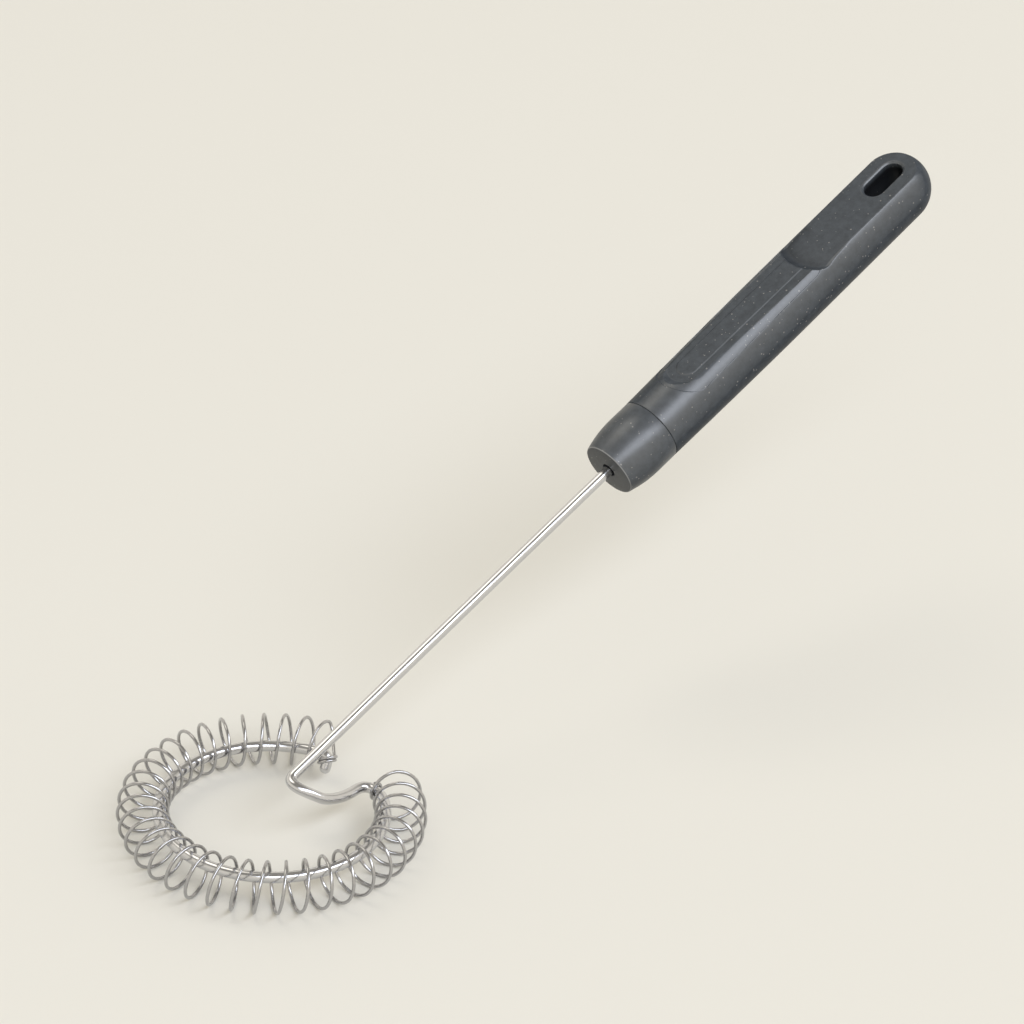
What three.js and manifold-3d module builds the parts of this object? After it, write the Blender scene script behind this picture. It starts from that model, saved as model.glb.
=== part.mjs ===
// A coil whisk for gravies and sauces. One stiff wire is bent into a flat ring, crooked back over the
// ring's middle and led up to the handle. A light spring is threaded round the ring. The ring lies flat
// on the table, and the handle rises from it at an angle.
//
// Millimetres and degrees. The table is z = 0, and the shaft and the handle rise towards +x. The wire and
// the spring are drawn about the ring's middle, and the whole whisk is centred over the origin at the end.

import * as THREE from "three";
import { mergeVertices } from "three/addons/utils/BufferGeometryUtils.js";
import Module from "manifold-3d";

const wasm = await Module();
wasm.setup();

// Frame wire: the ring, and the pin turned down at the wire's free end. The pin leans in under the ring.
const wireDiameter = 3;
const ringRadius = 30;
const ringLeavesAt = -31;
const pinAngle = 20.2;
const pinLean = 30;
const pinBendRadius = 1.9;
const pinEndLength = 0.6;

// Crook, where the wire turns back from the ring towards the shaft: a shoulder just inside the ring, and a
// hollow beside the shaft's foot. Lifts are above the ring. A hold is how far the wire keeps a direction.
const ringHold = 2.4;
const shoulderInset = 6.7;
const shoulderAngle = -19.1;
const shoulderLift = 0.8;
const shoulderHeading = 194;
const shoulderClimb = 4;
const shoulderHoldBefore = 7.3;
const shoulderHoldAfter = 3.6;
const hollowAhead = 2.4;
const hollowAside = 7.9;
const hollowLift = 3.9;
const hollowHeading = 154;
const hollowClimb = 31;
const hollowHoldBefore = 3.2;
const hollowHoldAfter = 8.6;
const footReach = 7.5;
const footLift = 8.23;
const footHold = 3.4;

// Shaft and the tang that the handle holds
const shaftRise = 26.15;
const shaftLength = 123;
const tangLength = 52;
const wingSpan = 4.8;
const wingThickness = 1.7;
const wingLength = 8;
const wingSetback = 8;

// Spring. Its curls pass close inside the ring, and hang lower than the ring by the drop.
const springWire = 0.9;
const curlCount = 35;
const curlRadius = 6.7;
const curlInnerGap = 0.95;
const curlDrop = 0.7;
const restFlatDepth = 0.5;

// Spring ends: a close turn on the wire past the ring, and close turns round the pin
const anchorAlong = 3.8;
const anchorTurns = 1;
const anchorPitch = 2.2;
const anchorOpening = 0.25;
const lastCurlBeforePin = 7.6;
const pinTurns = 1.75;
const pinPitch = 1.42;
const pinStartDrop = 0.3;
const pinStartPhase = 50;
const pinTurnTilt = 18;
const leadHoldAtCurl = 3.5;
const leadHoldAtPin = 1.5;

// Handle and its front collar, both along the handle's own x axis from the collar's face. From the seam on,
// the grip leans up from the shaft's line.
const handleLength = 132.6;
const collarLength = 17.3;
const collarFaceRadius = 8.3;
const collarSwell = 10;
const seamRadius = 9.7;
const gripRadius = 10.3;
const gripTaperLength = 60;
const endDomeLength = 10.3;
const gripLean = 0.68;
const seamBevel = 0.2;
const faceRimRadius = 0.5;
const mouthGap = 0.6;
const mouthDepth = 5;
const spigotRadius = 6.6;
const spigotLength = 10;
const wallGap = 0.3;

// Thumb rest: a lowered band round a sloping floor, and a fine dish in the floor. The floor's depth is
// from the full grip radius, and the dish's is from the front of the floor.
const restFront = 26.4;
const restHalfWidth = 7.95;
const bandDepth = 0.4;
const floorFront = 29.7;
const floorHalfWidth = 6;
const floorDepth = 2;
const floorFall = 0.75;
const floorWallRise = 1.7;
const floorWallRun = 3.2;
const dishFront = 33;
const dishHalfWidth = 3.1;
const dishDepth = 0.55;

// Flat at the handle's end, which a scoop leads down to, and the slot that it hangs by
const flatLength = 52.3;
const flatDepth = 3.3;
const flatSideMargin = 0.15;
const scoopRadius = 4;
const slotLength = 14;
const slotWidth = 6.5;
const slotEndWall = 6.6;
const slotBevel = 0.5;

// How finely the round shapes are drawn, and how closely the spring's gaps are measured
const wireSides = 16;
const springSides = 5;
const stepsPerCurl = 8;
const leadSteps = 5;
const roundSides = 40;
const rimSteps = 4;
const swellSteps = 8;
const taperSteps = 6;
const domeSteps = 12;
const outlineSteps = 8;
const scoopSteps = 5;
const pointsPerStep = 4;
const framePointsPerStep = 12;

// Worked out from the sizes above
const wireRadius = wireDiameter / 2;
const springRadius = springWire / 2;
const boreRadius = wireRadius + wallGap;
const mouthRadius = wireRadius + mouthGap;
const curlHeight = curlRadius + springRadius - restFlatDepth;
const ringHeight = curlHeight + curlDrop;
const curlCircleRadius = ringRadius + curlRadius - springRadius - curlInnerGap - wireRadius;
const floorHeight = gripRadius - floorDepth;
const dishHeight = floorHeight - dishDepth;
const flatHeight = gripRadius - flatDepth;
const flatFront = handleLength - flatLength;
const flatHalfWidth = Math.sqrt(gripRadius ** 2 - flatHeight ** 2) + flatSideMargin;
const slotBack = handleLength - slotEndWall;
const wingCentre = tangLength - wingSetback;
const above = 2 * gripRadius;

const steel = new THREE.MeshStandardMaterial({ color: 0xc9ccce, metalness: 1, roughness: 0.22 });
const springSteel = new THREE.MeshStandardMaterial({ color: 0xb9bab8, metalness: 1, roughness: 0.28 });
const gripPlastic = new THREE.MeshStandardMaterial({ color: 0x55595d, metalness: 0, roughness: 0.62 });
const collarPlastic = new THREE.MeshStandardMaterial({ color: 0x585c60, metalness: 0, roughness: 0.6 });

const { degToRad: radians, radToDeg: degrees, lerp, smoothstep } = THREE.MathUtils;
const up = new THREE.Vector3(0, 0, 1);

// Solids: a closed geometry becomes a body that can be cut and joined, and back.
function body(geometry) {
  const bare = geometry.clone();
  bare.deleteAttribute("normal");
  bare.deleteAttribute("uv");
  const merged = mergeVertices(bare, 1e-4);
  const vertProperties = new Float32Array(merged.attributes.position.array);
  const triVerts = new Uint32Array(merged.index.array);
  return new wasm.Manifold(new wasm.Mesh({ numProp: 3, vertProperties, triVerts }));
}

function geometryOf(solid) {
  const mesh = solid.getMesh();
  const geometry = new THREE.BufferGeometry();
  geometry.setAttribute("position", new THREE.BufferAttribute(mesh.vertProperties, 3));
  geometry.setIndex(new THREE.BufferAttribute(mesh.triVerts, 1));
  geometry.computeVertexNormals();
  return geometry;
}

function named(name, geometry, material) {
  const mesh = new THREE.Mesh(geometry, material);
  mesh.name = name;
  return mesh;
}

// A turned shape about the x axis, from pairs of radius and distance along it.
function turned(profile, sides = roundSides) {
  const points = profile.map(([radius, along]) => new THREE.Vector2(radius, along));
  return new THREE.LatheGeometry(points, sides).rotateX(Math.PI).rotateZ(Math.PI / 2);
}

// A flat outline with straight sides and round ends, its length along x.
function roundEnded(front, back, halfWidth) {
  const shape = new THREE.Shape();
  shape.absarc(front + halfWidth, 0, halfWidth, Math.PI / 2, Math.PI * 1.5, false);
  shape.absarc(back - halfWidth, 0, halfWidth, -Math.PI / 2, Math.PI / 2, false);
  return shape;
}

// A direction from a heading about z and a climb above the level.
function direction(heading, climb) {
  const level = Math.cos(radians(climb));
  return new THREE.Vector3(
    level * Math.cos(radians(heading)),
    level * Math.sin(radians(heading)),
    Math.sin(radians(climb)),
  );
}

function onRing(angle, radius = ringRadius, height = ringHeight) {
  return new THREE.Vector3(radius * Math.cos(radians(angle)), radius * Math.sin(radians(angle)), height);
}

// An arc in the plane of two square directions.
class PlaneArc extends THREE.Curve {
  constructor(centre, across, along, radius, from, to) {
    super();
    Object.assign(this, { centre, across, along, radius, from, to });
  }

  getPoint(t, target = new THREE.Vector3()) {
    const angle = radians(lerp(this.from, this.to, t));
    target.copy(this.centre);
    target.addScaledVector(this.across, this.radius * Math.cos(angle));
    return target.addScaledVector(this.along, this.radius * Math.sin(angle));
  }
}

// Runs of wire, end to end. Each run has its own number of steps, so tight bends stay round.
class WireRoute extends THREE.Curve {
  constructor(runs) {
    super();
    this.runs = runs;
    this.steps = runs.reduce((sum, run) => sum + run.steps, 0);
  }

  getPoint(t, target = new THREE.Vector3()) {
    let step = THREE.MathUtils.clamp(t, 0, 1) * this.steps;
    const last = this.runs[this.runs.length - 1];
    for (const run of this.runs) {
      if (step <= run.steps || run === last) {
        return run.curve.getPoint(step / run.steps, target);
      }
      step -= run.steps;
    }
    return target;
  }

  getUtoTmapping(u) {
    return u;
  }
}

// The frame wire's route, from the tip of the pin, round the ring, through the crook and up the shaft to
// the end of the tang.
const shaftDirection = direction(0, shaftRise);
const shaftFoot = new THREE.Vector3(footReach, 0, ringHeight + footLift);
const handleFace = shaftFoot.clone().addScaledVector(shaftDirection, shaftLength);
const tangEnd = handleFace.clone().addScaledVector(shaftDirection, tangLength);

// A direction turned from one direction towards another that is square to it.
function tilted(from, towards, angle) {
  return from.clone().multiplyScalar(Math.cos(radians(angle))).addScaledVector(towards, Math.sin(radians(angle)));
}

const ringStartsAt = pinAngle + degrees(Math.asin(pinBendRadius / ringRadius));
const ringStartDirection = direction(ringStartsAt + 90, 0);
const pinUp = direction(ringStartsAt, 90 - pinLean);
const pinBendCentre = onRing(ringStartsAt).addScaledVector(pinUp, -pinBendRadius);
const pinTop = pinBendCentre.clone().addScaledVector(ringStartDirection, -pinBendRadius);
const pinLength = pinStartDrop + pinTurns * pinPitch + pinEndLength;
const pinTip = pinTop.clone().addScaledVector(pinUp, -pinLength);
const pinBend = new PlaneArc(pinBendCentre, ringStartDirection, pinUp, pinBendRadius, 180, 90);

const ringMiddle = new THREE.Vector3(0, 0, ringHeight);
const ringArc = new PlaneArc(
  ringMiddle,
  direction(0, 0),
  direction(90, 0),
  ringRadius,
  ringStartsAt,
  ringLeavesAt + 360,
);

// A smooth run between two knots. Each knot has its place, its direction and the hold on that side.
function bend(from, fromDirection, fromHold, to, toDirection, toHold) {
  return new THREE.CubicBezierCurve3(
    from,
    from.clone().addScaledVector(fromDirection, fromHold),
    to.clone().addScaledVector(toDirection, -toHold),
    to,
  );
}

const ringEnd = onRing(ringLeavesAt);
const ringEndDirection = direction(ringLeavesAt + 90, 0);
const shoulder = onRing(shoulderAngle, ringRadius - shoulderInset, ringHeight + shoulderLift);
const shoulderDirection = direction(shoulderHeading, shoulderClimb);
const hollow = new THREE.Vector3(footReach + hollowAhead, -hollowAside, ringHeight + hollowLift);
const hollowDirection = direction(hollowHeading, hollowClimb);
const hairpin = bend(ringEnd, ringEndDirection, ringHold, shoulder, shoulderDirection, shoulderHoldBefore);
const sweep = bend(
  shoulder,
  shoulderDirection,
  shoulderHoldAfter,
  hollow,
  hollowDirection,
  hollowHoldBefore,
);
const elbow = bend(hollow, hollowDirection, hollowHoldAfter, shaftFoot, shaftDirection, footHold);

const frameRoute = new WireRoute([
  { curve: new THREE.LineCurve3(pinTip, pinTop), steps: 1 },
  { curve: pinBend, steps: 4 },
  { curve: ringArc, steps: 64 },
  { curve: hairpin, steps: 14 },
  { curve: sweep, steps: 8 },
  { curve: elbow, steps: 14 },
  { curve: new THREE.LineCurve3(shaftFoot, tangEnd), steps: 3 },
]);

// Wings pinched out of the tang keep the wire from turning or pulling out of the handle.
function lens(length, span, thickness) {
  const half = length / 2;
  const bulge = span / 2;
  const radius = (half * half + bulge * bulge) / (2 * bulge);
  const sweepAngle = Math.asin(half / radius);
  const shape = new THREE.Shape();
  shape.absarc(0, bulge - radius, radius, Math.PI / 2 + sweepAngle, Math.PI / 2 - sweepAngle, true);
  shape.absarc(0, radius - bulge, radius, -Math.PI / 2 + sweepAngle, -Math.PI / 2 - sweepAngle, true);
  const plate = new THREE.ExtrudeGeometry(shape, {
    depth: thickness,
    bevelEnabled: false,
    curveSegments: outlineSteps,
  });
  return plate.translate(0, 0, -thickness / 2);
}

// Handle parts are drawn along x, then laid along the shaft.
function alongShaft(geometry) {
  return geometry.rotateY(radians(-shaftRise)).translate(handleFace.x, handleFace.y, handleFace.z);
}

// A whole circle in a shape gets two sides for each curve segment.
function frameWireGeometry() {
  const section = new THREE.Shape().absarc(0, 0, wireRadius, 0, 2 * Math.PI, false);
  const wire = new THREE.ExtrudeGeometry(section, {
    steps: frameRoute.steps,
    curveSegments: wireSides / 2,
    extrudePath: frameRoute,
  });
  const wings = alongShaft(lens(wingLength, wingSpan, wingThickness).translate(wingCentre, 0, 0));
  return geometryOf(body(wire).add(body(wings)));
}

// The spring's centre line is a row of stations: a point of it, and the hub that it winds about there.
// A close turn keeps its straight steps clear of the wire inside it.
const closeRadius = (wireRadius + wallGap + springRadius) / Math.cos(Math.PI / stepsPerCurl);
const firstCurlAngle = ringLeavesAt + degrees(anchorAlong / ringRadius);
const lastCurlAngle = pinAngle + lastCurlBeforePin;
const curlPitchAngle = (firstCurlAngle + 360 - lastCurlAngle) / (curlCount - 1);

function station(hub, across, along, radius, phase) {
  const point = hub.clone();
  point.addScaledVector(across, radius * Math.cos(phase));
  point.addScaledVector(along, radius * Math.sin(phase));
  return { point, hub };
}

// Turns count from the first curl's crest, and the spring winds from each crest down its outer side.
function curlPhase(turn) {
  return Math.PI / 2 - 2 * Math.PI * turn;
}

function curlStation(turn) {
  const angle = firstCurlAngle - turn * curlPitchAngle;
  const hub = onRing(angle, curlCircleRadius, curlHeight);
  return station(hub, direction(angle, 0), up, curlRadius, curlPhase(turn));
}

function anchorStation(turn) {
  const share = (anchorAlong - turn * anchorPitch) / hairpin.getLength();
  const wireDirection = hairpin.getTangentAt(share);
  const across = wireDirection.clone().cross(up).normalize();
  const along = across.clone().cross(wireDirection);
  return station(hairpin.getPointAt(share), across, along, closeRadius, curlPhase(turn));
}

// The anchor turn opens into the first curl.
function openingStation(turn) {
  const opening = smoothstep(turn, -anchorOpening, 0);
  const anchor = anchorStation(turn);
  const curl = curlStation(turn);
  return { point: anchor.point.lerp(curl.point, opening), hub: anchor.hub.lerp(curl.hub, opening) };
}

// The turns on the pin sit tilted on it, lower on the side that the ring's wire comes from.
const turnsUp = tilted(pinUp, ringStartDirection, pinTurnTilt);
const turnsAcross = direction(ringStartsAt, 0).cross(turnsUp).normalize();
const turnsAlong = turnsUp.clone().cross(turnsAcross);
const pinTurnRadius = closeRadius / Math.cos(radians(pinTurnTilt));

function pinStation(turn) {
  const hub = pinTop.clone().addScaledVector(pinUp, -(pinStartDrop + pinPitch * turn));
  const phase = radians(pinStartPhase) - 2 * Math.PI * turn;
  return station(hub, turnsAcross, turnsAlong, pinTurnRadius, phase);
}

// The direction in which the turns on the pin start.
function pinTurnsDirection() {
  const phase = radians(pinStartPhase);
  const around = turnsAcross.clone().multiplyScalar(Math.sin(phase));
  around.addScaledVector(turnsAlong, -Math.cos(phase)).multiplyScalar(2 * Math.PI * pinTurnRadius);
  return around.addScaledVector(pinUp, -pinPitch).normalize();
}

function springStations() {
  const stations = [];
  for (let step = -anchorTurns * stepsPerCurl; step < 0; step++) {
    stations.push(openingStation(step / stepsPerCurl));
  }
  const lastStep = (curlCount - 1) * stepsPerCurl + 1;
  for (let step = 0; step <= lastStep; step++) {
    stations.push(curlStation(step / stepsPerCurl));
  }

  const leaving = stations[stations.length - 1];
  const leavingDirection = leaving.point.clone().sub(stations[stations.length - 2].point).normalize();
  const arriving = pinStation(0);
  const lead = bend(
    leaving.point,
    leavingDirection,
    leadHoldAtCurl,
    arriving.point,
    pinTurnsDirection(),
    leadHoldAtPin,
  );
  for (let step = 1; step < leadSteps; step++) {
    const share = step / leadSteps;
    stations.push({ point: lead.getPoint(share), hub: leaving.hub.clone().lerp(arriving.hub, share) });
  }
  for (let step = 0; step <= pinTurns * stepsPerCurl; step++) {
    stations.push(pinStation(step / stepsPerCurl));
  }
  return withStraightEnds(stations);
}

// Both ends of the spring run straight for one wire thickness.
function withStraightEnds(stations) {
  const straightFrom = (end, next) => {
    const away = end.point.clone().sub(next.point).normalize();
    return { point: end.point.clone().addScaledVector(away, springWire), hub: end.hub };
  };
  const first = straightFrom(stations[0], stations[1]);
  const last = straightFrom(stations[stations.length - 1], stations[stations.length - 2]);
  return [first, ...stations, last];
}

// A round tube through stations. One corner of its section points away from the hub.
function tube(stations, radius, sides) {
  const positions = [];
  const triangles = [];
  const count = stations.length;
  stations.forEach(({ point, hub }, index) => {
    const before = stations[Math.max(index - 1, 0)].point;
    const after = stations[Math.min(index + 1, count - 1)].point;
    const tangent = after.clone().sub(before).normalize();
    const outward = point.clone().sub(hub);
    outward.addScaledVector(tangent, -outward.dot(tangent)).normalize();
    const sideways = tangent.clone().cross(outward);
    for (let side = 0; side < sides; side++) {
      const angle = (2 * Math.PI * side) / sides;
      const corner = point.clone();
      corner.addScaledVector(outward, radius * Math.cos(angle));
      corner.addScaledVector(sideways, radius * Math.sin(angle));
      positions.push(corner.x, corner.y, corner.z);
    }
  });
  for (let ring = 0; ring < count - 1; ring++) {
    for (let side = 0; side < sides; side++) {
      const here = ring * sides + side;
      const beside = ring * sides + ((side + 1) % sides);
      triangles.push(here, beside, beside + sides);
      triangles.push(here, beside + sides, here + sides);
    }
  }
  const lastRing = (count - 1) * sides;
  for (let side = 1; side < sides - 1; side++) {
    triangles.push(0, side + 1, side);
    triangles.push(lastRing, lastRing + side, lastRing + side + 1);
  }
  const geometry = new THREE.BufferGeometry();
  geometry.setAttribute("position", new THREE.Float32BufferAttribute(positions, 3));
  geometry.setIndex(triangles);
  return geometry;
}

// Points along the straight steps between stations.
function measuringPoints(stations) {
  const points = [];
  for (let index = 0; index < stations.length - 1; index++) {
    for (let part = 0; part < pointsPerStep; part++) {
      points.push(stations[index].point.clone().lerp(stations[index + 1].point, part / pointsPerStep));
    }
  }
  return points;
}

function leastGapToItself(stations) {
  const points = measuringPoints(stations);
  const neighbours = (stepsPerCurl * pointsPerStep) / 2;
  let least = Infinity;
  for (let one = 0; one < points.length; one++) {
    for (let other = one + neighbours; other < points.length; other++) {
      least = Math.min(least, points[one].distanceTo(points[other]));
    }
  }
  return least - springWire;
}

function leastGapToFrame(stations) {
  const points = measuringPoints(stations);
  const framePoints = frameRoute.getSpacedPoints(frameRoute.steps * framePointsPerStep);
  let least = Infinity;
  for (const point of points) {
    for (const framePoint of framePoints) {
      least = Math.min(least, point.distanceTo(framePoint));
    }
  }
  return least - springRadius - wireRadius;
}

// The spring is cut flat where it stands on the table.
function springGeometry(stations) {
  const reach = 2 * (curlCircleRadius + curlRadius + springWire);
  const table = new THREE.BoxGeometry(reach, reach, reach).translate(0, 0, -reach / 2);
  return geometryOf(body(tube(stations, springRadius, springSides)).subtract(body(table)));
}

// The collar swells from its face to the seam, and its spigot plugs the grip's mouth.
function collarOutline() {
  const outline = [[mouthRadius, 0]];
  for (let step = 0; step <= rimSteps; step++) {
    const turn = (Math.PI / 2) * (step / rimSteps);
    const inset = faceRimRadius * (1 - Math.sin(turn));
    outline.push([collarFaceRadius - inset, faceRimRadius * (1 - Math.cos(turn))]);
  }
  for (let step = 1; step <= swellSteps; step++) {
    const share = step / swellSteps;
    const radius = lerp(collarFaceRadius, seamRadius, 1 - (1 - share) ** 2);
    outline.push([radius, faceRimRadius + collarSwell * share]);
  }
  const back = collarLength - wallGap / 2;
  const spigotEnd = collarLength + spigotLength;
  outline.push([seamRadius, back - seamBevel]);
  outline.push([seamRadius - seamBevel, back]);
  outline.push([spigotRadius, back]);
  outline.push([spigotRadius, spigotEnd - seamBevel]);
  outline.push([spigotRadius - seamBevel, spigotEnd]);
  outline.push([boreRadius, spigotEnd]);
  outline.push([boreRadius, mouthDepth]);
  outline.push([mouthRadius, mouthDepth - (mouthRadius - boreRadius)]);
  outline.push([mouthRadius, 0]);
  return outline;
}

// The grip swells from the seam to its full radius, and ends in a dome.
function gripOutline(inset) {
  const front = collarLength + wallGap / 2;
  const outline = [[0, front]];
  outline.push([seamRadius - seamBevel - inset, front]);
  outline.push([seamRadius - inset, front + seamBevel]);
  for (let step = 1; step <= taperSteps; step++) {
    const share = step / taperSteps;
    const radius = lerp(seamRadius, gripRadius, Math.sin((Math.PI / 2) * share));
    outline.push([radius - inset, collarLength + gripTaperLength * share]);
  }
  const domeStart = handleLength - endDomeLength;
  for (let step = 0; step < domeSteps; step++) {
    const turn = (Math.PI / 2) * (step / domeSteps);
    const radius = (gripRadius - inset) * Math.cos(turn);
    outline.push([radius, domeStart + (endDomeLength - inset) * Math.sin(turn)]);
  }
  outline.push([0, handleLength - inset]);
  return outline;
}

// A cutter that stands on its floor and opens upwards. Its wall can lean or curve out from the floor.
function pocket(shape, floor, wall = { rise: 0, run: 0, segments: 0 }) {
  const geometry = new THREE.ExtrudeGeometry(shape, {
    depth: 2 * above,
    curveSegments: outlineSteps,
    bevelEnabled: wall.run > 0,
    bevelThickness: wall.rise,
    bevelSize: wall.run,
    bevelSegments: wall.segments,
  });
  return geometry.translate(0, 0, floor + wall.rise);
}

function plug(radius, end) {
  return body(turned([[0, 0], [radius, 0], [radius, end], [0, end]]));
}

// The grip's inside: a socket for the collar's spigot, and a bore with a pocket for the winged tang.
function gripInside() {
  const socketEnd = collarLength + spigotLength + wallGap;
  const boreEnd = tangLength + wallGap;
  const socket = plug(spigotRadius + wallGap, socketEnd);
  const bore = plug(boreRadius, boreEnd);
  const wings = lens(wingLength + 4 * wallGap, wingSpan + 3 * wallGap, wingThickness + 2 * wallGap);
  return socket.add(bore).add(body(wings.translate(wingCentre, 0, 0)));
}

function thumbRest() {
  const restBack = flatFront + restHalfWidth;
  const band = body(pocket(roundEnded(restFront, restBack, restHalfWidth), 0));

  const floorBack = flatFront + 2 * floorHalfWidth;
  const floorWall = { rise: floorWallRise, run: floorWallRun, segments: 1 };
  const floor = pocket(roundEnded(0, floorBack - floorFront, floorHalfWidth), 0, floorWall);
  floor.rotateY(radians(floorFall)).translate(floorFront, 0, floorHeight);

  const dish = pocket(roundEnded(dishFront, flatFront + 2 * dishHalfWidth, dishHalfWidth), dishHeight);
  return band.subtract(body(turned(gripOutline(bandDepth)))).add(body(floor)).add(body(dish));
}

function endFlat() {
  const scoop = { rise: scoopRadius, run: scoopRadius, segments: scoopSteps };
  const scoopRun = Math.sqrt(2 * scoopRadius * (dishHeight - flatHeight));
  const flatBack = handleLength + 2 * flatHalfWidth;
  return body(pocket(roundEnded(flatFront + scoopRun, flatBack, flatHalfWidth), flatHeight, scoop));
}

function hangSlot() {
  const shape = roundEnded(slotBack - slotLength, slotBack, slotWidth / 2);
  const mouth = { rise: 2 * slotBevel, run: 2 * slotBevel, segments: 1 };
  return body(pocket(shape, -above)).add(body(pocket(shape, flatHeight - slotBevel, mouth)));
}

// The shape leans from the seam on, and its inside stays in line with the shaft.
function gripGeometry() {
  const slope = Math.tan(radians(gripLean));
  const lean = new THREE.Matrix4().makeShear(0, slope, 0, 0, 0, 0).setPosition(0, 0, -slope * collarLength);
  let grip = body(turned(gripOutline(0)));
  for (const cutter of [thumbRest(), endFlat(), hangSlot()]) {
    grip = grip.subtract(cutter);
  }
  return geometryOf(grip.transform(lean.elements).subtract(gripInside()));
}

const handle = new THREE.Group();
handle.position.copy(handleFace);
handle.rotation.y = radians(-shaftRise);
handle.add(named("handle_grip", gripGeometry(), gripPlastic));
handle.add(named("front_collar", geometryOf(body(turned(collarOutline()))), collarPlastic));

const spring = springStations();
console.log(`spring: least gap to itself ${leastGapToItself(spring).toFixed(2)} mm`);
console.log(`spring: least gap to the frame wire ${leastGapToFrame(spring).toFixed(2)} mm`);

const whisk = new THREE.Group();
whisk.add(named("frame_wire", frameWireGeometry(), steel));
whisk.add(named("coil_spring", springGeometry(spring), springSteel));
whisk.add(handle);

const extent = new THREE.Box3().setFromObject(whisk, true);
const middle = extent.getCenter(new THREE.Vector3());
whisk.position.set(-middle.x, -middle.y, 0);

export default whisk;
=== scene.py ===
# %% [markdown]
# # A gravy whisk on a pale table
#
# The real whisk is two bent wires and a plastic handle. A stiff wire makes a flat ring, crooks back
# over the ring's middle and runs straight up into the handle. A thin spring is threaded round the
# ring.
#
# The measured model is loaded first. Every piece made here stands where the model says, in metres,
# with the table at z = 0.

import math

import bpy
import numpy as np
from mathutils import Matrix, Vector


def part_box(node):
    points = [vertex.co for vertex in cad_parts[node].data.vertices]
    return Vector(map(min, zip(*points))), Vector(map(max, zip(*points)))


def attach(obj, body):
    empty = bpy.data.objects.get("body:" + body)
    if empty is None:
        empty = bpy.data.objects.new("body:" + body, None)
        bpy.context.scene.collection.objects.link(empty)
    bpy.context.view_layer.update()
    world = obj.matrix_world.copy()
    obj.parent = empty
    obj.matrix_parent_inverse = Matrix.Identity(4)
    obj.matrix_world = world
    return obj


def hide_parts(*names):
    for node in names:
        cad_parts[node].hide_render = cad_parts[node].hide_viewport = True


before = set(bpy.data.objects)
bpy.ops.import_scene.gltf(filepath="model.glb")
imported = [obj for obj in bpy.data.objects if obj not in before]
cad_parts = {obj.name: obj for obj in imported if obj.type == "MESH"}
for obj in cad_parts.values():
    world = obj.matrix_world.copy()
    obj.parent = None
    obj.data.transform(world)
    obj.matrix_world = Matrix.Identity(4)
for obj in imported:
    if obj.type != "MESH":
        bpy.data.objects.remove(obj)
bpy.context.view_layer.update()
print("nodes:", sorted(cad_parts))

# %% [markdown]
# ## Sizes and directions
#
# Sizes could be measured off the loaded meshes. Wires like these are bent to a drawing about the
# middle of the ring, so here the sizes are in millimetres about that middle, each with a name. One
# helper turns such points into the model's metres.

# %% Sizes of the wires
MM = 0.001
RING_MIDDLE = np.array([-98.21, 0.0, 0.0])
WIRE_RADIUS = 1.5
SPRING_RADIUS = 0.45
RING_RADIUS = 30.0
RING_HEIGHT = 7.35
SHAFT_RISE = math.radians(26.15)
UP = np.array([0.0, 0.0, 1.0])


def to_model(points):
    """Millimetres about the ring's middle, as the model's metres."""
    return (np.asarray(points, float) + RING_MIDDLE) * MM


def heading(angle, climb=0.0):
    """A unit direction from degrees about z and degrees above the level."""
    a, c = math.radians(angle), math.radians(climb)
    return np.array([math.cos(c) * math.cos(a), math.cos(c) * math.sin(a), math.sin(c)])


def on_ring(angle, radius=RING_RADIUS, height=RING_HEIGHT):
    """A point over the table, from degrees round the ring. It is on the ring unless told otherwise."""
    return radius * heading(angle) + height * UP


def unit(vector):
    return vector / np.linalg.norm(vector)


print("ring:", 2 * RING_RADIUS, "mm across. Wires:", 2 * WIRE_RADIUS, "and", 2 * SPRING_RADIUS, "mm")

# %% [markdown]
# ## Camera
#
# The picture is taken from the left, well back and about 30 degrees up, with a long lens. A camera can
# be aimed by eye, but a small error in its height changes every outline. So its place, its heading and
# a small roll were worked out from the ring, the curls and the straight shaft.

# %% Camera
PHOTO_WIDTH_PIXELS = 1024
FOCAL_LENGTH_PIXELS = 3500
SENSOR_WIDTH = 36
VIEW_HEADING = 45.5
VIEW_FALL = 30.17
VIEW_ROLL = math.radians(3.57)
CAMERA_PLACE = (-0.58717, -0.58072, 0.54263)


def into_scene(name, data):
    """Wraps a camera, a lamp or a mesh in an object and puts it in the scene."""
    thing = bpy.data.objects.new(name, data)
    bpy.context.scene.collection.objects.link(thing)
    return thing


def standing(place, across, along, towards):
    """The matrix of an object at a place, with its own x, y and z along three directions."""
    return Matrix.Translation(place) @ Matrix((across, along, towards)).transposed().to_4x4()


def make_camera():
    data = bpy.data.cameras.new("camera")
    data.sensor_width = SENSOR_WIDTH
    data.lens = SENSOR_WIDTH * FOCAL_LENGTH_PIXELS / PHOTO_WIDTH_PIXELS
    data.clip_start = 0.05
    data.clip_end = 20
    forward = Vector(heading(VIEW_HEADING, -VIEW_FALL))
    level_right = Vector(heading(VIEW_HEADING - 90))
    level_up = level_right.cross(forward)
    right = math.cos(VIEW_ROLL) * level_right + math.sin(VIEW_ROLL) * level_up
    upward = math.cos(VIEW_ROLL) * level_up - math.sin(VIEW_ROLL) * level_right
    camera = into_scene("camera", data)
    camera.matrix_world = standing(CAMERA_PLACE, right, upward, -forward)
    return camera


camera = make_camera()
bpy.context.scene.camera = camera
print("camera's lens:", round(camera.data.lens, 1), "mm, looking down by", VIEW_FALL, "degrees")

# %% [markdown]
# ## Helpers for node trees
#
# The materials, the studio's light and the wires are all trees of nodes. Each tree could be written
# out link by link. These helpers add a node, set or link its inputs and hand back what comes out of
# it, so that a tree reads like the sum that it works out.

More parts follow.
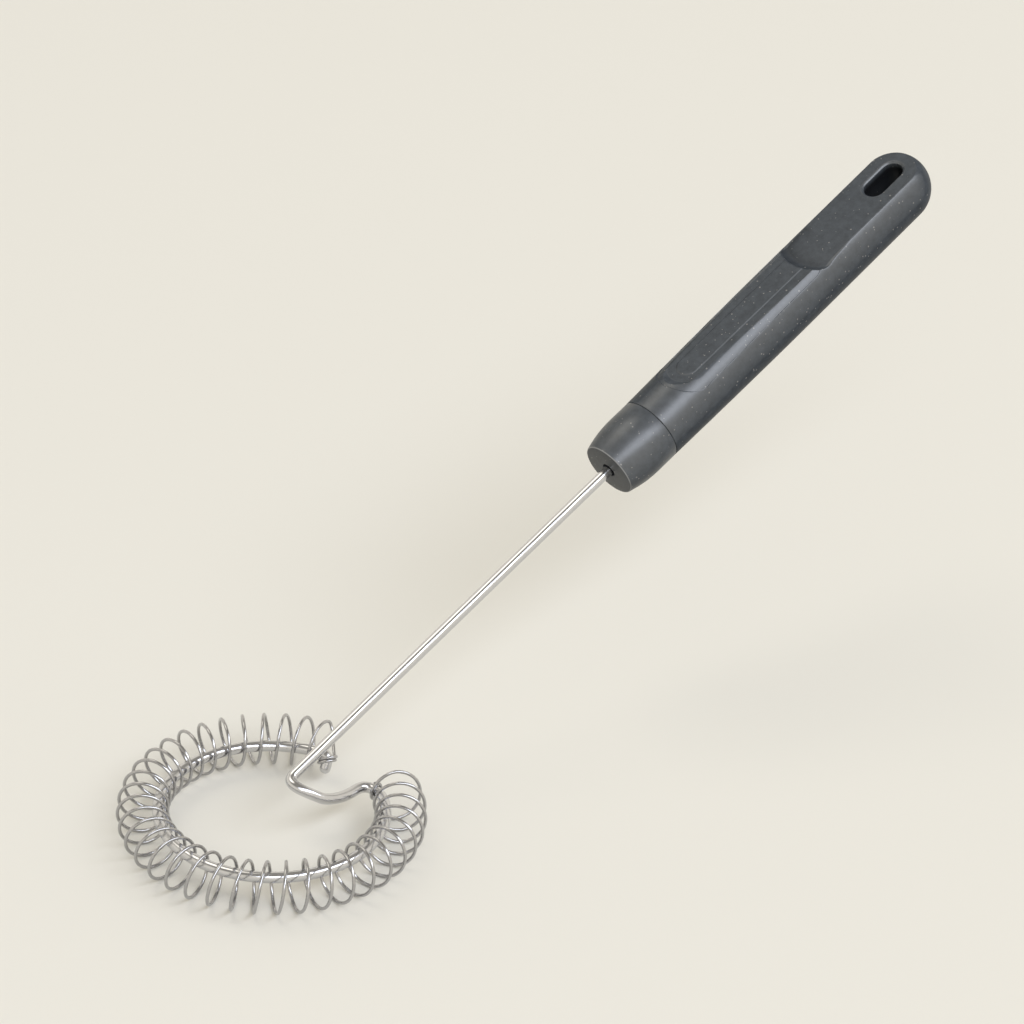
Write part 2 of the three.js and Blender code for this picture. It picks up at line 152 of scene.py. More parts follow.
# %% Helpers for node trees
def plug(tree, value, socket):
    """Links a socket to another node's output, or sets it to a plain value."""
    if isinstance(value, bpy.types.NodeSocket):
        tree.links.new(value, socket)
    else:
        socket.default_value = value


def feed(tree, node, **inputs):
    """Plugs a node's inputs by their labels, with _ for a space."""
    for label, value in inputs.items():
        plug(tree, value, node.inputs[label.replace("_", " ")])


def add_node(tree, kind, settings=None, **inputs):
    node = tree.nodes.new(kind)
    for label, value in (settings or {}).items():
        setattr(node, label, value)
    feed(tree, node, **inputs)
    return node


def operate(tree, kind, operation, *values):
    """A Math or Vector Math node with its values plugged in order."""
    node = add_node(tree, kind, {"operation": operation})
    for slot, value in enumerate(values):
        plug(tree, value, node.inputs[slot])
    return node


def arithmetic(tree, operation, *values):
    return operate(tree, "ShaderNodeMath", operation, *values).outputs[0]


def blend(tree, share, first, second):
    """A colour between two others, by a share from 0 to 1."""
    node = add_node(tree, "ShaderNodeMix", {"data_type": "RGBA"})
    for slot, value in ((0, share), (6, first), (7, second)):
        plug(tree, value, node.inputs[slot])
    return node.outputs[2]


# %% [markdown]
# ## Table
#
# The floor is one pale sheet of paper. Its colour, not the lamps, makes the background pale. A plain
# pale floor this wide would light the handle's underside too much. So rays that end in the eye or in
# the metal meet the pale colour, and rays that only carry light meet a dark one.

# %% Table
PAPER = (0.735, 0.717, 0.663)
PAPER_BOUNCE = (0.10, 0.095, 0.085)
FLOOR_SIZE = 6.0


def new_material(name):
    """A material, its tree and its surface node."""
    material = bpy.data.materials.new(name)
    material.use_nodes = True
    tree = material.node_tree
    return material, tree, tree.nodes["Principled BSDF"]


def toned(color, share=1.0):
    """A colour made darker or paler by a share, with full cover."""
    return (*[share * c for c in color], 1)


def paper_material():
    material, tree, surface = new_material("paper")
    rays = add_node(tree, "ShaderNodeLightPath").outputs
    seen = arithmetic(tree, "MAXIMUM", rays["Is Camera Ray"], rays["Is Glossy Ray"])
    seen = arithmetic(tree, "MAXIMUM", seen, rays["Is Transmission Ray"])
    tint = blend(tree, seen, toned(PAPER_BOUNCE), toned(PAPER))
    feed(tree, surface, Base_Color=tint, Roughness=0.9, Specular_IOR_Level=0.1)
    return material


def make_floor():
    half = FLOOR_SIZE / 2
    corners = [(-half, -half, 0), (half, -half, 0), (half, half, 0), (-half, half, 0)]
    mesh = bpy.data.meshes.new("floor")
    mesh.from_pydata(corners, [], [(0, 1, 2, 3)])
    mesh.materials.append(paper_material())
    return into_scene("floor", mesh)


floor = make_floor()
print("floor:", FLOOR_SIZE, "metres square")

# %% [markdown]
# ## Studio light
#
# The studio is pale round its sides and darker overhead, and a bright panel behind on the left gives
# the steel its highlights. It could be built of walls and panels, but a tree of nodes in the world
# does the same with no mesh. One long lamp on the right throws the soft shadows to the left.

# %% Studio
# Edges are in degrees: the walls' above the level, and the panel's from its middle.
WALL_LEVEL = 0.92
CEILING_LEVEL = 0.34
WALL_TOP = 28
CEILING_EDGE = 52
PANEL_LEVEL = 1.9
PANEL_PLACE = (-0.445, 0.29)
PANEL_HALF_WIDTH = 8
PANEL_REACH = 22
FILL_TINT = (1.04, 0.985, 0.87)


def direction_from(right, away):
    """A unit direction. It goes so far right and so far away, as the camera sees them, for each unit up."""
    level = right * heading(VIEW_HEADING - 90) + away * heading(VIEW_HEADING)
    return Vector(level + UP).normalized()


def map_range(tree, value, given, wanted, curve="LINEAR"):
    """Carries one range of values over to another, and stops at its ends."""
    node = add_node(
        tree, "ShaderNodeMapRange", {"interpolation_type": curve},
        Value=value, From_Min=given[0], From_Max=given[1], To_Min=wanted[0], To_Max=wanted[1])
    return node.outputs["Result"]


def make_world():
    """Walls and ceiling by the height of each direction, and a panel by the angle from its middle."""
    world = bpy.data.worlds.new("studio")
    world.use_nodes = True
    tree = world.node_tree
    direction = add_node(tree, "ShaderNodeTexCoord").outputs["Generated"]
    height = add_node(tree, "ShaderNodeSeparateXYZ", Vector=direction).outputs["Z"]
    wall_edges = [math.sin(math.radians(a)) for a in (WALL_TOP, CEILING_EDGE)]
    walls = map_range(tree, height, wall_edges, (WALL_LEVEL, CEILING_LEVEL), "SMOOTHSTEP")
    panel_middle = direction_from(*PANEL_PLACE)
    cosine = operate(tree, "ShaderNodeVectorMath", "DOT_PRODUCT", direction, panel_middle).outputs["Value"]
    panel_edges = [math.cos(math.radians(a)) for a in (PANEL_REACH, PANEL_HALF_WIDTH)]
    panel = map_range(tree, cosine, panel_edges, (0.0, PANEL_LEVEL), "SMOOTHSTEP")
    strength = arithmetic(tree, "ADD", walls, panel)
    feed(tree, tree.nodes["Background"], Color=toned(FILL_TINT), Strength=strength)
    return world


bpy.context.scene.world = make_world()
bpy.context.scene.view_settings.view_transform = "Standard"
print("studio:", WALL_LEVEL, "at its walls,", CEILING_LEVEL, "overhead,", PANEL_LEVEL, "more at its panel")

# %% Lamp
LAMP_TINT = (0.95, 1.005, 1.12)
LAMP_SHARE = 0.6
LAMP_PLACE = (0.6, -0.6)
LAMP_DISTANCE = 8.0
LAMP_WIDTH = 3.2
LAMP_LENGTH = 12.8
LAMP_TURN = math.degrees(math.atan2(1.2, 1.0))
LAMP_LIFT = 0.03


def make_lamp():
    """A long soft box on the right. Its share is the part of the table's light that comes from it."""
    towards = direction_from(*LAMP_PLACE)
    data = bpy.data.lights.new("strip_box", "AREA")
    data.shape = "RECTANGLE"
    data.size = LAMP_WIDTH
    data.size_y = LAMP_LENGTH
    data.energy = LAMP_SHARE * math.pi**2 * LAMP_DISTANCE**2 / towards.z
    data.color = LAMP_TINT
    across = Vector(heading(VIEW_HEADING - 90 + LAMP_TURN)).cross(towards).normalized()
    lamp = into_scene("strip_box", data)
    place = towards * LAMP_DISTANCE + LAMP_LIFT * Vector(UP)
    lamp.matrix_world = standing(place, across, towards.cross(across), towards)
    return lamp


lamp = make_lamp()
print("lamp:", round(lamp.data.energy), "watts, from", LAMP_DISTANCE, "metres away")

# %% [markdown]
# ## Wire finishes
#
# The frame wire is bright drawn stainless steel, polished almost like a mirror. The spring is thinner
# and slightly duller. A picture of steel could be wrapped round them, but a wire this thin shows
# little more than its gloss. So one fine noise changes the roughness and the tint along them and
# raises a faint grain.

# %% Steel
STEEL_SCALE = 900
STEEL_GRAIN_DEPTH = 0.02 * MM
ROUGHNESS_CHANGE = 0.05


def steel_material(name, color, roughness, grain):
    material, tree, surface = new_material(name)
    here = add_node(tree, "ShaderNodeTexCoord").outputs["Object"]
    noise = add_node(tree, "ShaderNodeTexNoise", Vector=here, Scale=STEEL_SCALE, Detail=3).outputs["Fac"]
    gloss = map_range(tree, noise, (0, 1), (roughness - ROUGHNESS_CHANGE, roughness + ROUGHNESS_CHANGE))
    tint = blend(tree, noise, toned(color, 0.94), toned(color))
    bump = add_node(tree, "ShaderNodeBump", Strength=grain, Distance=STEEL_GRAIN_DEPTH, Height=noise)
    feed(tree, surface, Metallic=1.0, Roughness=gloss, Base_Color=tint, Normal=bump.outputs["Normal"])
    return material


frame_steel = steel_material("frame steel", (0.63, 0.63, 0.645), 0.16, 0.15)
spring_steel = steel_material("spring steel", (0.46, 0.458, 0.468), 0.17, 0.2)
print("finishes:", frame_steel.name, "and", spring_steel.name)

# %% [markdown]
# ## The wire's route
#
# The stiff wire is one piece. It starts at a short pin, goes all the way round the ring, turns back in
# a tight hairpin beside the pin, sweeps over the ring's middle and bends up into the shaft. Its bends
# could be traced point by point. They are smooth runs between a few places and directions instead,
# because that is how a wire former sets them.

# %% Pin, ring and shaft
RING_LEAVES_AT = -31.0
PIN_ANGLE = 20.2
PIN_BEND_RADIUS = 1.9
PIN_LEAN = math.radians(30)
PIN_LENGTH = 3.2
SHAFT_LENGTH = 123
TANG_LENGTH = 52

ring_starts_at = PIN_ANGLE + math.degrees(math.asin(PIN_BEND_RADIUS / RING_RADIUS))
along_ring = heading(ring_starts_at - 90)
outward = heading(ring_starts_at)
pin_up = math.cos(PIN_LEAN) * UP + math.sin(PIN_LEAN) * outward
pin_corner = on_ring(ring_starts_at) + PIN_BEND_RADIUS * along_ring
shaft_direction = heading(0, math.degrees(SHAFT_RISE))
shaft_foot = np.array([7.5, 0, RING_HEIGHT + 8.23])
handle_face = shaft_foot + SHAFT_LENGTH * shaft_direction
tang_end = handle_face + TANG_LENGTH * shaft_direction
print("handle's face, mm over the table:", round(handle_face[2], 1))

# %% Places that the wire passes
SHOULDER = on_ring(-19.1, RING_RADIUS - 6.7, RING_HEIGHT + 0.8)
SHOULDER_HEADING = heading(194, 4)
HOLLOW = np.array([9.9, -7.9, RING_HEIGHT + 3.9])
HOLLOW_HEADING = heading(154, 31)
# A hold says how long the wire keeps to its direction, before a place and after it.
RING_HOLD = 2.4
SHOULDER_HOLDS = (7.3, 3.6)
HOLLOW_HOLDS = (3.2, 8.6)
SHAFT_HOLD = 3.4


def straight(start, end, steps):
    return start + np.linspace(0, 1, steps + 1)[:, None] * (end - start)


def bezier(start, start_direction, start_hold, end, end_direction, end_hold, steps):
    """A smooth run between two places, with a direction and a hold at each."""
    t = np.linspace(0, 1, steps + 1)[:, None]
    a, d = start, end
    b = start + start_hold * start_direction
    c = end - end_hold * end_direction
    return (1 - t) ** 3 * a + 3 * (1 - t) ** 2 * t * b + 3 * (1 - t) * t**2 * c + t**3 * d


def frame_route():
    """The whole wire's points, and those of the hairpin that the spring is anchored on."""
    bend_middle = on_ring(ring_starts_at) - PIN_BEND_RADIUS * pin_up
    turns = np.radians(np.linspace(90, 0, 13))[:, None]
    bend = bend_middle + PIN_BEND_RADIUS * (np.sin(turns) * along_ring + np.cos(turns) * pin_up)
    pin = straight(bend[0] - PIN_LENGTH * pin_up, bend[0], 16)
    ring = np.array([on_ring(a) for a in np.linspace(ring_starts_at, RING_LEAVES_AT + 360, 241)])
    leaving = heading(RING_LEAVES_AT + 90)
    hairpin = bezier(ring[-1], leaving, RING_HOLD, SHOULDER, SHOULDER_HEADING, SHOULDER_HOLDS[0], 40)
    sweep = bezier(SHOULDER, SHOULDER_HEADING, SHOULDER_HOLDS[1], HOLLOW, HOLLOW_HEADING, HOLLOW_HOLDS[0], 30)
    elbow = bezier(HOLLOW, HOLLOW_HEADING, HOLLOW_HOLDS[1], shaft_foot, shaft_direction, SHAFT_HOLD, 44)
    shaft = straight(shaft_foot, tang_end, 60)
    runs = [pin[:-1], bend, ring[1:], hairpin[1:], sweep[1:], elbow[1:], shaft[1:]]
    return np.vstack(runs), hairpin


frame_points, hairpin = frame_route()
print("frame wire:", len(frame_points), "points")

# %% [markdown]
# ## A node tree that draws wire
#
# A wire is a circle carried along a path. A curve with a bevel would do for one wire, but a Geometry
# Nodes tree serves both, and takes points that another tree has made. It strings loose points together
# in their order, carries a round section along them, closes both ends and sets the finish.

# %% Wire tree
def new_tree(name, inputs):
    """A geometry tree with named inputs, what it is given, its end node and the inputs' identifiers."""
    tree = bpy.data.node_groups.new(name, "GeometryNodeTree")
    tree.interface.new_socket("Geometry", in_out="INPUT", socket_type="NodeSocketGeometry")
    tree.interface.new_socket("Geometry", in_out="OUTPUT", socket_type="NodeSocketGeometry")
    identifiers = {}
    for label, kind, value in inputs:
        socket = tree.interface.new_socket(label, in_out="INPUT", socket_type=kind)
        if value is not None:
            socket.default_value = value
        identifiers[label] = socket.identifier
    given = add_node(tree, "NodeGroupInput").outputs
    return tree, given, add_node(tree, "NodeGroupOutput"), identifiers


def stored(tree, label):
    """A number that is stored on each point."""
    node = add_node(tree, "GeometryNodeInputNamedAttribute", {"data_type": "FLOAT"}, Name=label)
    return node.outputs["Attribute"]


def wire_tree():
    tree, given, end, identifiers = new_tree("wire through points", [
        ("Wire radius", "NodeSocketFloat", 0.001),
        ("Sides", "NodeSocketInt", 24),
        ("Finish", "NodeSocketMaterial", None),
    ])
    points = add_node(tree, "GeometryNodeMeshToPoints", Mesh=given["Geometry"]).outputs["Points"]
    string = add_node(tree, "GeometryNodePointsToCurves", Points=points, Weight=stored(tree, "order"))
    circle = add_node(tree, "GeometryNodeCurvePrimitiveCircle",
                      Resolution=given["Sides"], Radius=given["Wire radius"])
    sweep = add_node(tree, "GeometryNodeCurveToMesh", Curve=string.outputs[0], Fill_Caps=True,
                     Profile_Curve=circle.outputs["Curve"], Scale=stored(tree, "thickness"))
    smooth = add_node(tree, "GeometryNodeSetShadeSmooth", Geometry=sweep.outputs["Mesh"])
    real = add_node(tree, "GeometryNodeRealizeInstances", Geometry=smooth.outputs["Geometry"])
    finish = add_node(tree, "GeometryNodeSetMaterial",
                      Geometry=real.outputs["Geometry"], Material=given["Finish"])
    feed(tree, end, Geometry=finish.outputs["Geometry"])
    return tree, identifiers


wire_nodes = wire_tree()
print("wire tree:", len(wire_nodes[0].nodes), "nodes")

# %% [markdown]
# ## The frame wire
#
# On the real whisk this is the wire that carries everything, from its blunt pin to the tang in the
# handle. It could be a curve drawn in the viewport. Its route is already known here as points, so they
# are given their order and the wire's thickness, and the tree does the rest. The wire gets thinner
# over its last bit, which rounds the pin's end.

# %% Frame wire
PIN_ROUNDING = 1.6
PIN_BLUNTNESS = 0.12
FRAME_WIRE_SIDES = 32
SHARP_OVER = 40


def store(mesh, label, values):
    """Stores a number on each point, for trees and materials to read."""
    attribute = mesh.attributes.new(label, "FLOAT", "POINT")
    attribute.data.foreach_set("value", np.asarray(values, np.float32))


def points_object(name, points, order, thickness):
    """Loose points with their order along the wire and the wire's thickness there, as a share."""
    mesh = bpy.data.meshes.new(name)
    mesh.from_pydata(to_model(points).tolist(), [], [])
    store(mesh, "order", order)
    store(mesh, "thickness", thickness)
    return into_scene(name, mesh)


def add_tree(thing, tree_and_identifiers, values):
    tree, identifiers = tree_and_identifiers
    modifier = thing.modifiers.new(tree.name, "NODES")
    modifier.node_group = tree
    for label, value in values.items():
        modifier[identifiers[label]] = value


def settle(thing, sharp_over=SHARP_OVER):
    """Replaces an object's mesh by what its modifiers made, and removes them."""
    graph = bpy.context.evaluated_depsgraph_get()
    made = bpy.data.meshes.new_from_object(thing.evaluated_get(graph), depsgraph=graph)
    thing.modifiers.clear()
    thing.data = made
    made.name = thing.name
    made.set_sharp_from_angle(angle=math.radians(sharp_over))
    made.calc_loop_triangles()
    print(thing.name, "has", len(made.loop_triangles), "triangles")


from_tip = np.linalg.norm(frame_points - frame_points[0], axis=1)
nearness = np.clip(1 - (from_tip + PIN_BLUNTNESS) / PIN_ROUNDING, 0, 1)
whisk_wire = points_object("whisk_wire", frame_points, range(len(frame_points)), np.sqrt(1 - nearness**2))
add_tree(whisk_wire, wire_nodes,
         {"Wire radius": WIRE_RADIUS * MM, "Sides": FRAME_WIRE_SIDES, "Finish": frame_steel})
settle(whisk_wire)

# %% [markdown]
# ## The spring
#
# The spring is one thin wire. It takes a close turn on the hairpin, makes thirty-five curls round the
# ring, and ends in nearly two turns hooked on the pin. A curve could follow all of it. The curls
# follow one rule, so a node tree makes them from their number, pitch and sizes. The two ends are
# worked out here and handed to the tree as loose points.

# %% Curls
CURL_COUNT = 35
CURL_TURNS = CURL_COUNT - 1 + 0.1
CURL_RADIUS = 6.6
CURL_CIRCLE = 34.0
CURL_HEIGHT = CURL_RADIUS + SPRING_RADIUS
MM_PAST_RING = 3.8
DEGREES_PAST_PIN = 7.6
FIRST_CURL = RING_LEAVES_AT + math.degrees(MM_PAST_RING / RING_RADIUS)
LAST_CURL = PIN_ANGLE + DEGREES_PAST_PIN
CURL_PITCH = (FIRST_CURL + 360 - LAST_CURL) / (CURL_COUNT - 1)
STEPS = 40


def turn_phase(turn):
    """Where a turn has got to, in radians. It starts at the top and goes clockwise."""
    return math.radians(90 - 360 * turn)


def curl_point(turn):
    """A point of the curls. Turns count clockwise from the first curl's crest."""
    phase = turn_phase(turn)
    radius = CURL_CIRCLE + CURL_RADIUS * math.cos(phase)
    return on_ring(FIRST_CURL - turn * CURL_PITCH, radius, CURL_HEIGHT + CURL_RADIUS * math.sin(phase))


print("curls:", CURL_COUNT, "with", round(CURL_PITCH, 2), "degrees from one to the next")

# %% Close turn on the hairpin
ANCHOR_TURNS = 1.0
ANCHOR_ALONG = 3.8
ANCHOR_PITCH = 2.0
ANCHOR_GAP = 0.12
ANCHOR_RADIUS = WIRE_RADIUS + ANCHOR_GAP + SPRING_RADIUS
OPENING_TURNS = 0.3

hairpin_lengths = np.concatenate([[0], np.cumsum(np.linalg.norm(np.diff(hairpin, axis=0), axis=1))])


def on_hairpin(length):
    """The place on the hairpin at a length along it."""
    return np.array([np.interp(length, hairpin_lengths, hairpin[:, k]) for k in range(3)])


def anchor_point(turn):
    """A point of the close turn, which is wound round the hairpin."""
    along = ANCHOR_ALONG - turn * ANCHOR_PITCH
    hub = on_hairpin(along)
    direction = unit(on_hairpin(along + 0.05) - hub)
    across = unit(np.cross(direction, UP))
    rise = np.cross(across, direction)
    phase = turn_phase(turn)
    return hub + ANCHOR_RADIUS * (math.cos(phase) * across + math.sin(phase) * rise)


def start_run():
    """The close turn, which opens out into the first curl over its last part."""
    points = []
    for turn in np.arange(-ANCHOR_TURNS, 0, 1 / STEPS):
        opening = np.clip((turn + OPENING_TURNS) / OPENING_TURNS, 0, 1)
        share = opening * opening * (3 - 2 * opening)
        points.append((1 - share) * anchor_point(turn) + share * curl_point(turn))
    return np.array(points)


first_end = start_run()
print("close turn:", len(first_end), "points,", ANCHOR_GAP, "mm off the wire")

# %% Turns round the pin
PIN_TURNS = 1.7
PIN_TURN_RADIUS = 2.18
PIN_TURN_PITCH = 0.95
PIN_TURN_TILT = math.radians(18)
PIN_TURN_START = 0.47
PIN_START_PHASE = math.radians(60)
LEAVING_HOLD = 3.5
ARRIVING_HOLD = 1.5
SMALL_TURN = 0.001

turn_up = math.cos(PIN_TURN_TILT) * pin_up - math.sin(PIN_TURN_TILT) * along_ring
turn_side = unit(np.cross(outward, turn_up))
turn_out = np.cross(turn_up, turn_side)


def pin_turn_point(turn):
    """A point of the turns that are wound down the pin."""
    phase = PIN_START_PHASE - 2 * math.pi * turn
    hub = pin_corner - (PIN_TURN_START + PIN_TURN_PITCH * turn) * pin_up
    return hub + PIN_TURN_RADIUS * (math.cos(phase) * turn_side + math.sin(phase) * turn_out)


def finish_run():
    """A smooth lead from the last curl to the pin, and the turns round it."""
    leaving, arriving = curl_point(CURL_TURNS), pin_turn_point(0)
    leaving_direction = unit(curl_point(CURL_TURNS + SMALL_TURN) - leaving)
    arriving_direction = unit(pin_turn_point(SMALL_TURN) - arriving)
    lead = bezier(leaving, leaving_direction, LEAVING_HOLD, arriving, arriving_direction, ARRIVING_HOLD, 40)
    wound = [pin_turn_point(t) for t in np.linspace(0, PIN_TURNS, int(PIN_TURNS * STEPS) + 1)]
    return np.vstack([lead, wound[1:]])


last_end = finish_run()
print("turns round the pin:", PIN_TURNS, "in", len(last_end), "points")

# %% Curls tree
def store_node(tree, geometry, label, value):
    """Adds a node that stores a number on each point."""
    node = add_node(tree, "GeometryNodeStoreNamedAttribute", {"data_type": "FLOAT", "domain": "POINT"},
                    Geometry=geometry, Name=label, Value=value)
    return node.outputs["Geometry"]


def curls_tree():
    """Adds the curls' points to the ends' points. Each gets its place in the order along the wire."""
    tree, given, end, identifiers = new_tree("curls round a ring", [
        ("Turns", "NodeSocketFloat", 34.1),
        ("Steps per curl", "NodeSocketFloat", 40.0),
        ("Curl radius", "NodeSocketFloat", 0.0066),
        ("Circle radius", "NodeSocketFloat", 0.034),
        ("Middle", "NodeSocketVector", (0.0, 0.0, 0.0)),
        ("First angle", "NodeSocketFloat", 0.0),
        ("Pitch angle", "NodeSocketFloat", 0.1),
    ])

    def calc(operation, *values):
        return arithmetic(tree, operation, *values)

    count = calc("FLOOR", calc("MULTIPLY", given["Turns"], given["Steps per curl"]))
    line = add_node(tree, "GeometryNodeMeshLine", Count=count)
    index = add_node(tree, "GeometryNodeInputIndex").outputs[0]
    turn = calc("DIVIDE", index, given["Steps per curl"])
    angle = calc("SUBTRACT", given["First angle"], calc("MULTIPLY", turn, given["Pitch angle"]))
    phase = calc("SUBTRACT", math.pi / 2, calc("MULTIPLY", turn, 2 * math.pi))
    reach = calc("ADD", given["Circle radius"], calc("MULTIPLY", given["Curl radius"], calc("COSINE", phase)))
    place = add_node(tree, "ShaderNodeCombineXYZ",
                     X=calc("MULTIPLY", reach, calc("COSINE", angle)),
                     Y=calc("MULTIPLY", reach, calc("SINE", angle)),
                     Z=calc("MULTIPLY", given["Curl radius"], calc("SINE", phase)))
    centred = operate(tree, "ShaderNodeVectorMath", "ADD", place.outputs[0], given["Middle"])
    put = add_node(tree, "GeometryNodeSetPosition",
                   Geometry=line.outputs["Mesh"], Position=centred.outputs[0])
    ordered = store_node(tree, put.outputs["Geometry"], "order", index)
    join = add_node(tree, "GeometryNodeJoinGeometry", Geometry=store_node(tree, ordered, "thickness", 1.0))
    feed(tree, join, Geometry=given["Geometry"])
    feed(tree, end, Geometry=join.outputs["Geometry"])
    return tree, identifiers


curls_nodes = curls_tree()
print("curls tree:", len(curls_nodes[0].nodes), "nodes")

# %% Spring
SPRING_SIDES = 14

curl_points = int(CURL_TURNS * STEPS)
ends = np.vstack([first_end, last_end])
ends_order = [*range(-len(first_end), 0), *range(curl_points, curl_points + len(last_end))]
whisk_spring = points_object("whisk_spring", ends, ends_order, np.ones(len(ends)))
add_tree(whisk_spring, curls_nodes, {
    "Turns": CURL_TURNS,
    "Steps per curl": float(STEPS),
    "Curl radius": CURL_RADIUS * MM,
    "Circle radius": CURL_CIRCLE * MM,
    "Middle": to_model((0, 0, CURL_HEIGHT)),
    "First angle": math.radians(FIRST_CURL),
    "Pitch angle": math.radians(CURL_PITCH),
})
add_tree(whisk_spring, wire_nodes,
         {"Wire radius": SPRING_RADIUS * MM, "Sides": SPRING_SIDES, "Finish": spring_steel})
settle(whisk_spring)

# %% [markdown]
# ## Handle plastic
#
# The handle is matt charcoal plastic, moulded against a finely etched tool. Its skin is mottled and
# has a fine grain and many small pale flecks. The sunk faces are etched duller. Shade is painted on
# the slot's walls, almost black, and at the scoop's foot, and the collar keeps more gloss and has a
# painted highlight, a pale line round its face. A picture of such a skin would need a flat surface to
# lie on. So nodes make it from each point's place, and what belongs to one spot only is read from
# numbers that are stored on the mesh.

# %% Plastic
CHARCOAL = (0.059, 0.067, 0.077)
FLECK_COLOR = (0.26, 0.25, 0.24)
# Painted shade for the slot's walls and the scoop's foot, and a painted highlight for the collar's rim.
PAINTED_SHADE_COLOR = (0.006, 0.006, 0.007)
RIM_HIGHLIGHT_COLOR = (0.33, 0.335, 0.34)
MOTTLE_SCALE = 420
MOTTLE_CHANGE = 0.16
GRAIN_SCALE = 2600
GRAIN_DEPTH = 0.03 * MM
FLECK_SCALE = 800
FLECKED_CELLS = 0.6
LEAST_FLECK = 0.05
MORE_FLECK = 0.16
PLAIN_ROUGHNESS = 0.29


def plastic_material(name, edge_gloss):
    """Charcoal plastic. Its edge gloss is the share of its shine that is left where it turns away."""
    material, tree, surface = new_material(name)

    def calc(operation, *values):
        return arithmetic(tree, operation, *values)

    def marked(label):
        return add_node(tree, "ShaderNodeAttribute", {"attribute_name": label}).outputs["Fac"]

    here = add_node(tree, "ShaderNodeTexCoord").outputs["Object"]
    grain = add_node(tree, "ShaderNodeTexNoise", Vector=here, Scale=GRAIN_SCALE, Detail=4).outputs["Fac"]
    cloud = add_node(tree, "ShaderNodeTexNoise", Vector=here, Scale=MOTTLE_SCALE, Detail=5, Roughness=0.7)
    etched, painted_shade = marked("etched"), marked("painted_shade")

    mottle = map_range(tree, cloud.outputs["Fac"], (0.35, 0.65), (0.0, 1.0))
    mottled = blend(tree, mottle, toned(CHARCOAL, 1 - MOTTLE_CHANGE), toned(CHARCOAL, 1 + MOTTLE_CHANGE))
    cells = add_node(tree, "ShaderNodeTexVoronoi", Vector=here, Scale=FLECK_SCALE).outputs
    chance = add_node(tree, "ShaderNodeSeparateColor", Color=cells["Color"]).outputs
    fleck_size = calc("MULTIPLY_ADD", chance[1], MORE_FLECK, LEAST_FLECK)
    in_fleck = calc("LESS_THAN", cells["Distance"], fleck_size)
    chosen = calc("LESS_THAN", chance[0], FLECKED_CELLS)
    fleck = calc("MULTIPLY", calc("MULTIPLY", in_fleck, chosen), 0.75)
    flecked = blend(tree, fleck, mottled, toned(FLECK_COLOR))
    # Painted shade darkens the slot's walls and the scoop's foot, and takes away some of their shine.
    with_painted_shade = blend(tree, calc("MULTIPLY", painted_shade, 0.92), flecked, toned(PAINTED_SHADE_COLOR))
    # A painted highlight makes the collar's rounded rim pale.
    color = blend(tree, marked("rim"), with_painted_shade, toned(RIM_HIGHLIGHT_COLOR))

    rough = calc("MULTIPLY_ADD", grain, 0.1, calc("MULTIPLY_ADD", etched, 0.1, PLAIN_ROUGHNESS))
    facing = add_node(tree, "ShaderNodeLayerWeight", Blend=0.5).outputs["Facing"]
    shine = map_range(tree, facing, (0.1, 0.45), (1.0, edge_gloss))
    shine = calc("MULTIPLY", shine, calc("MULTIPLY_ADD", etched, -0.6, 1.0))
    shine = calc("MULTIPLY", shine, calc("MULTIPLY_ADD", painted_shade, -0.8, 1.0))
    bump = add_node(tree, "ShaderNodeBump", Strength=0.25, Distance=GRAIN_DEPTH, Height=grain)
    feed(tree, surface, Base_Color=color, Roughness=rough, Specular_IOR_Level=shine,
         Normal=bump.outputs["Normal"])
    return material


grip_plastic = plastic_material("grip plastic", 0.03)
collar_plastic = plastic_material("collar plastic", 0.25)
print("finishes:", grip_plastic.name, "and", collar_plastic.name)

# %% [markdown]
# ## The handle's long moulding
#
# The grip is round, swells a little from the seam and ends in a ball. From above, a thumb rest with a
# low pad, a flat behind a scoop, and a slot are sunk into it. It could be cut from a turned bar, but
# moulded edges are soft. So the skin is made as rings of points, and each point on the upper side is
# let down to the height of the sunk shapes. A soft minimum of the heights gives the rounded edges.

# %% Handle sizes
HANDLE_LENGTH = 132.6
COLLAR_LENGTH = 17.3
SEAM_GAP = 0.06
SEAM_BEVEL = 0.12
SEAM_RADIUS = 9.7
WALL_GAP = 0.3
SPIGOT_RADIUS = 6.6
SPIGOT_LENGTH = 10
GRIP_RADIUS = 10.3
GRIP_TAPER = 60.0
GRIP_LEAN = math.tan(math.radians(0.68))
BALL_START = HANDLE_LENGTH - GRIP_RADIUS


def along_handle(points):
    """Points of the handle's own frame, laid along the shaft."""
    x, y, z = np.asarray(points, float).T
    c, s = math.cos(SHAFT_RISE), math.sin(SHAFT_RISE)
    return np.stack([x * c - z * s, y, x * s + z * c], axis=1) + handle_face


def grip_radius(x):
    """The grip's swell from the seam, and the ball at its end."""
    swell = SEAM_RADIUS + (GRIP_RADIUS - SEAM_RADIUS) * np.sin(
        math.pi / 2 * np.clip((x - COLLAR_LENGTH) / GRIP_TAPER, 0, 1))
    ball = np.sqrt(np.clip(GRIP_RADIUS**2 - np.clip(x - BALL_START, 0, None) ** 2, 0, None))
    return np.minimum(swell, ball)


print("grip:", round(HANDLE_LENGTH - COLLAR_LENGTH, 1), "mm long and", 2 * GRIP_RADIUS, "mm thick")

# %% Outlines of what is sunk into the grip
FLAT_FRONT = HANDLE_LENGTH - 52.3
FLAT_HALF_WIDTH = 7.7
FLAT_ARC = 11.0
SCOOP_LENGTH = 2.4
FLAT_ARC_MIDDLE = FLAT_FRONT + SCOOP_LENGTH + FLAT_ARC
SLOT_HALF_WIDTH = 3.25
SLOT_BACK = HANDLE_LENGTH - 6.6
SLOT_FRONT = SLOT_BACK - 14.0
